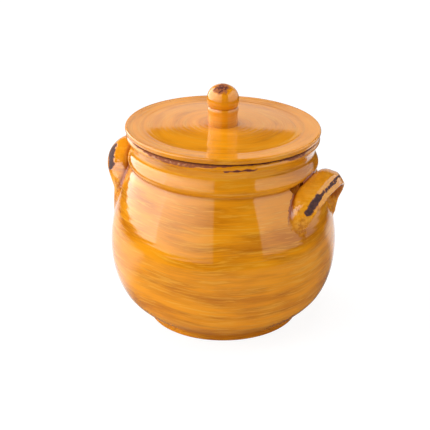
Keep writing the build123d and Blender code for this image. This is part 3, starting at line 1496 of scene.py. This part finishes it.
@dataclass(frozen=True)
class Softbox:
    """A soft lamp: an upright or level panel, hidden from the camera.

    Attributes:
        name: The lamp's name.
        place: Its middle, in the photograph's directions.
        target: What it faces, in the photograph's directions.
        width: Its width.
        height: Its height.
        brightness: How bright its brightest corner is, where 1 renders as white.
        inner: Brightness of its inner edge as a share of the outer one.
        lower: Brightness of its lower edge as a share of the upper one.
        mirrored: Whether the glaze shows its reflection.
    """

    name: str
    place: Place
    target: Place
    width: float
    height: float
    brightness: float
    inner: float = 1.0
    lower: float = 1.0
    mirrored: bool = True

    def build(self) -> bpy.types.Object:
        """Adds the lamp to the scene.

        Returns:
            The lamp's object.
        """
        lamp = bpy.data.lights.new(self.name, "AREA")
        lamp.shape = "RECTANGLE"
        lamp.size = self.width
        lamp.size_y = self.height
        lamp.energy = self.brightness * math.pi * self.width * self.height
        if min(self.inner, self.lower) < 1.0:
            self.shade(lamp)
        panel = bpy.data.objects.new(self.name, lamp)
        place, target = from_photo(*self.place), from_photo(*self.target)
        panel.location = place
        panel.rotation_euler = (target - place).to_track_quat("-Z", "Y").to_euler()
        panel.visible_camera = False
        panel.visible_glossy = self.mirrored
        bpy.context.scene.collection.objects.link(panel)
        return panel

    def shade(self, lamp: bpy.types.AreaLight) -> None:
        """Lets the lamp's face grow dimmer towards its inner and lower edges.

        Args:
            lamp: The lamp.
        """
        lamp.use_nodes = True
        bench = Bench(lamp.node_tree)
        face = bench.node("SeparateXYZ", {0: bench.node("NewGeometry").outputs["Parametric"]})
        inwards = bench.even(face.outputs[0], 1.0, self.inner)
        upwards = bench.even(face.outputs[1], self.lower, 1.0)
        glow = bench.math("MULTIPLY", inwards, upwards)
        bench.fill(lamp.node_tree.nodes["Emission"].inputs["Strength"], glow)


def upright(
    name: str,
    bearing: float,
    away: float,
    width: float,
    span: tuple[float, float],
    bright: float,
    **dimming: float,
) -> Softbox:
    """An upright softbox that faces the jar.

    Args:
        name: The lamp's name.
        bearing: Direction from the jar in degrees, from the camera's side towards the right.
        away: Distance from the jar's axis.
        width: Width of the panel.
        span: Heights of its lower and upper edges.
        bright: How bright its bright side is.
        **dimming: The brightness of the softbox's inner and lower edges.

    Returns:
        The softbox.
    """
    turn = math.radians(bearing)
    right, back = away * math.sin(turn), -away * math.cos(turn)
    middle, tall = (span[0] + span[1]) / 2.0, span[1] - span[0]
    place, target = (right, back, middle), (0.0, 0.0, middle)
    return Softbox(name, place, target, width, tall, bright, **dimming)


SOFTBOXES = (
    upright("left front softbox", -40.0, 1.2, 1.39, (-0.01, 1.7), 5.3, inner=0.25, lower=0.32),
    upright("left back softbox", -110.0, 1.2, 2.01, (-0.02, 1.7), 3.2),
    upright("right softbox", 86.5, 1.25, 2.83, (-0.04, 1.45), 1.75, lower=0.4),
    Softbox(
        name="overhead softbox",
        place=(0.1, 0.0, 1.4),
        target=(0.0, 0.0, 0.2),
        width=1.0,
        height=0.8,
        brightness=3.3,
        mirrored=False,
    ),
    Softbox(
        name="low fill",
        place=(0.40, -1.08, 0.16),
        target=(0.0, 0.0, 0.03),
        width=1.0,
        height=0.3,
        brightness=2.4,
        mirrored=False,
    ),
)


@dataclass
class Studio:
    """The photograph's studio: a white sweep, softboxes and a long lens.

    Attributes:
        lens: Focal length for a 36 mm wide picture, in millimetres.
        camera_place: The camera, in the photograph's directions.
        camera_tip: How far the camera looks down, in degrees.
        camera_roll: How far the picture is turned, in degrees.
        room: Brightness of the unlit room.
        floor_reach: Half the floor's width.
        pale_reach: Distances from the axis between which the pale floor ends.
        floor_grey: How pale the floor is where it is lit.
        mirrored_grey: How pale the lit floor is in the glaze.
        far_grey: How pale the floor is beyond its pale middle.
        shadow_grey: How much of its light the white floor takes from the lamps.
        floor_glow: How much it gives of itself, so that both add up to white.
        room_rise: How steeply a mirrored ray may climb and still meet the white sweep.
        room_depth: How straight it must head away from the camera.
        floor_depth: Distances behind the axis between which the mirrored floor turns white.
        floor_turn: How far to the left that direction is turned, in degrees.
        foot_gap: Distances from the axis between which it turns white beside the foot.
        card_away: Distance of the backdrop card behind the jar.
        card_size: Half the card's width and height.
        card_glow: How bright the card is.
        softboxes: The lamps.
    """

    lens: float = 126.37
    camera_place: Place = (-0.00818, -1.37535, 0.70058)
    camera_tip: float = 23.523
    camera_roll: float = -0.217
    room: float = 0.03
    floor_reach: float = 3.0
    pale_reach: tuple[float, float] = (0.40, 0.62)
    floor_grey: float = 0.88
    mirrored_grey: float = 0.22
    far_grey: float = 0.02
    shadow_grey: float = 0.14
    floor_glow: float = 0.9
    room_rise: tuple[float, float] = (0.33, 0.30)
    room_depth: tuple[float, float] = (0.55, 0.75)
    floor_depth: tuple[float, float] = (0.0, 0.08)
    floor_turn: float = 18.0
    foot_gap: tuple[float, float] = (0.086, 0.102)
    card_away: float = 1.2
    card_size: tuple[float, float] = (1.1, 0.312)
    card_glow: float = 0.72
    softboxes: Sequence[Softbox] = SOFTBOXES

    def camera(self) -> None:
        """Adds the camera at the photograph's viewpoint."""
        lens = bpy.data.cameras.new("camera")
        lens.lens = self.lens
        lens.sensor_width = 36.0
        lens.sensor_fit = "HORIZONTAL"
        lens.clip_start = 0.05
        eye = bpy.data.objects.new("camera", lens)
        aim = Matrix.Rotation(PHOTO_TURN, 4, "Z")
        aim @= Matrix.Rotation(math.radians(90.0 - self.camera_tip), 4, "X")
        aim @= Matrix.Rotation(math.radians(self.camera_roll), 4, "Z")
        eye.matrix_world = Matrix.Translation(from_photo(*self.camera_place)) @ aim
        bpy.context.scene.collection.objects.link(eye)
        bpy.context.scene.camera = eye

    def behind(
        self, bench: Bench, direction: Socket, span: tuple[float, float], leftwards: float = 0.0
    ) -> Socket:
        """A ramp from 0 in front of the jar to 1 behind it, where the white sweep stands.

        Args:
            bench: The bench on the tree.
            direction: A place or a direction in the part's axes.
            span: Distances away from the camera where it is still 0 and where it is 1.
            leftwards: How far the direction away is turned to the left, in degrees.

        Returns:
            The ramp's value.
        """
        turn = math.radians(leftwards)
        away = tuple(from_photo(-math.sin(turn), math.cos(turn), 0.0))
        made = bench.node("VectorMath", {0: direction, 1: away}, operation="DOT_PRODUCT")
        return bench.ramp(made.outputs["Value"], *span)

    def sees_white(self, bench: Bench, sweep: Socket) -> Socket:
        """Tells which rays see the white of the studio.

        Args:
            bench: The bench on the tree.
            sweep: 1 where the sweep stands for mirrored rays.

        Returns:
            1 for the camera's and glass's rays, and for mirrored ones that meet the sweep.
        """
        path = bench.node("LightPath").outputs
        straight = bench.math("MAXIMUM", path["Is Camera Ray"], path["Is Transmission Ray"])
        mirrored = bench.math("MULTIPLY", path["Is Glossy Ray"], sweep)
        return bench.math("MAXIMUM", straight, mirrored)

    def surroundings(self) -> None:
        """Makes the room white where it is seen and dim where it lights."""
        world = bpy.data.worlds.new("room")
        world.use_nodes = True
        bench = Bench(world.node_tree)
        nodes = world.node_tree.nodes
        heading = bench.node("TexCoord").outputs["Generated"]
        climb = bench.node("SeparateXYZ", {0: heading}).outputs[2]
        low = bench.ramp(climb, *self.room_rise)
        sweep = bench.math("MULTIPLY", self.behind(bench, heading, self.room_depth), low)
        seen = self.sees_white(bench, sweep)
        light = bench.math("MULTIPLY", seen, 1.0 - self.room)
        bench.fill(nodes["Background"].inputs["Strength"], bench.math("ADD", light, self.room))
        nodes["Background"].inputs["Color"].default_value = WHITE
        bpy.context.scene.world = world

    def sheet(self, name: str, placing: Matrix) -> tuple[bpy.types.Object, Bench, Socket]:
        """Adds a flat sheet of paper to the studio.

        Args:
            name: The sheet's name.
            placing: Scales and places a square of two metres.

        Returns:
            The sheet, a bench on its empty material and the material's Surface socket.
        """
        form = bmesh.new()
        bmesh.ops.create_grid(form, x_segments=1, y_segments=1, size=1.0, matrix=placing)
        sheet = make_piece(name, form)
        paper = bpy.data.materials.new(name + " paper")
        paper.use_nodes = True
        nodes = paper.node_tree.nodes
        nodes.remove(nodes["Principled BSDF"])
        sheet.data.materials.append(paper)
        return sheet, Bench(paper.node_tree), nodes["Material Output"].inputs["Surface"]

    def glow(self, bench: Bench, strength: float) -> Socket:
        """A shader that gives white light of its own."""
        return bench.node("Emission", {"Color": WHITE, "Strength": strength}).outputs[0]

    def floor(self) -> bpy.types.Object:
        """Adds the white floor, which keeps a faint shadow of the jar.

        Returns:
            The floor.
        """
        placing = Matrix.Diagonal((self.floor_reach, self.floor_reach, 1.0, 1.0))
        floor, bench, surface = self.sheet("floor", placing)
        spot = bench.node("TexCoord").outputs["Object"]
        out = bench.node("VectorMath", {0: spot}, operation="LENGTH").outputs["Value"]
        edge = bench.ramp(out, *self.pale_reach)
        mirrored = bench.node("LightPath").outputs["Is Glossy Ray"]
        near = bench.mix(mirrored, grey(self.floor_grey), grey(self.mirrored_grey))
        colour = bench.mix(edge, near, grey(self.far_grey))
        lit = bench.node("BsdfDiffuse", {"Color": colour}).outputs[0]
        shade = bench.node("BsdfDiffuse", {"Color": grey(self.shadow_grey)}).outputs[0]
        pale = bench.node("AddShader", {0: shade, 1: self.glow(bench, self.floor_glow)}).outputs[0]
        back = self.behind(bench, spot, self.floor_depth, self.floor_turn)
        sweep = bench.math("SUBTRACT", back, edge, clamp=True)
        sweep = bench.math("MULTIPLY", sweep, bench.ramp(out, *self.foot_gap))
        seen = self.sees_white(bench, sweep)
        bench.fill(surface, bench.node("MixShader", {0: seen, 1: lit, 2: pale}).outputs[0])
        return floor

    def backdrop(self) -> bpy.types.Object:
        """Adds the bright card behind the jar, which its lid and shoulder reflect.

        Returns:
            The card, which only the glaze sees.
        """
        half_width, half_height = self.card_size
        middle = Matrix.Translation(from_photo(0.0, self.card_away, half_height))
        turned = Matrix.Rotation(PHOTO_TURN, 4, "Z") @ Matrix.Rotation(math.radians(90.0), 4, "X")
        placing = middle @ turned @ Matrix.Diagonal((half_width, half_height, 1.0, 1.0))
        card, bench, surface = self.sheet("backdrop", placing)
        bench.fill(surface, self.glow(bench, self.card_glow))
        card.visible_camera = False
        return card

    def build(self) -> None:
        """Builds the studio."""
        self.camera()
        self.surroundings()
        for softbox in self.softboxes:
            softbox.build()
        self.floor()
        self.backdrop()
        bpy.context.scene.view_settings.view_transform = "Standard"
        LOG.info("studio: %d softboxes", len(self.softboxes))


RIGHT_STRAP = (
    (95.0, -39.2, 102.0, 12.0, 12.0, 0.0),
    (94.0, -39.2, 110.5, 13.0, 14.0, 0.0),
    (91.0, -39.4, 118.5, 16.0, 16.0, 0.0),
    (92.3, -39.4, 126.0, 21.4, 16.6, 2.0),
    (97.4, -35.8, 139.0, 24.8, 13.0, 8.0),
    (100.9, -27.0, 149.2, 28.0, 11.5, 15.0),
    (104.6, -14.4, 155.4, 26.2, 11.0, 20.0),
    (106.2, 0.0, 157.4, 26.0, 11.0, 21.0),
    (106.7, 14.2, 156.8, 25.0, 11.0, 19.0),
    (105.4, 26.0, 152.0, 24.2, 11.0, 15.0),
    (101.8, 34.2, 142.0, 24.0, 11.5, 8.0),
    (97.2, 37.0, 128.5, 22.0, 12.0, 2.0),
    (95.6, 37.6, 117.0, 20.0, 12.0, 0.0),
    (95.2, 37.8, 110.0, 18.5, 11.0, 0.0),
    (92.0, 38.0, 101.0, 14.0, 9.0, 0.0),
)
RIGHT_WEAR = (
    WornStretch(0.292, 0.372, 0.84, 6.2, 0.27),
    WornStretch(0.385, 0.530, 0.66, 3.1, 0.29),
    WornStretch(0.545, 0.600, 0.84, 2.8, 0.26),
)
LEFT_STRAP = (
    (91.0, -38.0, 112.0, 16.0, 12.0, 0.0),
    (93.4, -37.5, 127.0, 22.0, 12.5, 2.0),
    (98.3, -34.2, 139.5, 24.0, 11.5, 7.0),
    (102.6, -26.3, 150.2, 24.5, 11.0, 12.0),
    (105.4, -14.2, 158.0, 24.5, 11.0, 13.0),
    (106.2, 0.0, 160.8, 24.5, 11.0, 13.0),
    (105.4, 14.2, 158.2, 24.5, 11.0, 13.0),
    (102.2, 26.0, 151.0, 24.5, 11.0, 12.0),
    (96.4, 33.4, 140.5, 23.0, 11.5, 8.0),
    (92.4, 36.0, 129.0, 20.5, 12.0, 2.0),
    (93.0, 38.0, 117.0, 19.0, 11.0, 0.0),
    (94.8, 38.5, 106.0, 15.0, 9.0, 0.0),
    (92.5, 38.5, 98.0, 12.0, 8.0, 0.0),
)
LEFT_WEAR = (WornStretch(0.50, 0.61, 0.84, 7.4, 0.24),)

POT_GLAZE = Glaze(
    "pot glaze",
    BrushRun.ROUND_THE_WALL,
    worn=(0.27, 0.065, 0.014, 1.0),
    # The pot's bare-clay colour also draws the painted shadow line under the lid's edge.
    bare=(0.10, 0.014, 0.003, 1.0),
)
LID_GLAZE = Glaze("lid glaze", BrushRun.ROUND_THE_TOP, contrast=0.7)
KNOB_GLAZE = Glaze(
    "knob glaze",
    BrushRun.ROUND_THE_WALL,
    worn=(0.33, 0.085, 0.012, 1.0),
    bare=(0.09, 0.010, 0.003, 1.0),
    contrast=0.6,
    raggedness=1.5,
)


def main() -> None:
    """Builds the jar piece by piece, dresses it and sets up the studio."""
    logging.basicConfig(level=logging.INFO, format="%(message)s")
    noise.seed_set(CLAY_SEED)
    marks, wear_and_shade = brush_marks(), ragged_wear()
    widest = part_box("jar_body")[1]
    pot = ThrownPot(belly=widest.x, rim=widest.z)
    dressed = [(pot.build(), POT_GLAZE)]
    blank = pot.blank()
    right = StrapHandle(Side.RIGHT, RIGHT_STRAP, RIGHT_WEAR, smear=0.6)
    left = StrapHandle(Side.LEFT, LEFT_STRAP, LEFT_WEAR, edge_drop=0.2, tuck=0.0062)
    for handle in (right, left):
        name = "handle glaze " + handle.side.name.lower()
        glaze = Glaze(name, BrushRun.PATCHY, raggedness=1.5, bump=0.3)
        dressed.append((handle.build(blank), glaze))
    blank.free()
    dressed.append((TurnedLid(radius=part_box("lid")[1].x, seat=pot.rim).build(), LID_GLAZE))
    dressed.append((BallKnob(foot=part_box("lid_knob")[0].z).build(), KNOB_GLAZE))
    for piece, glaze in dressed:
        piece.data.materials.append(glaze.material(marks, wear_and_shade))
    Studio().build()


if __name__ == "__main__":
    main()
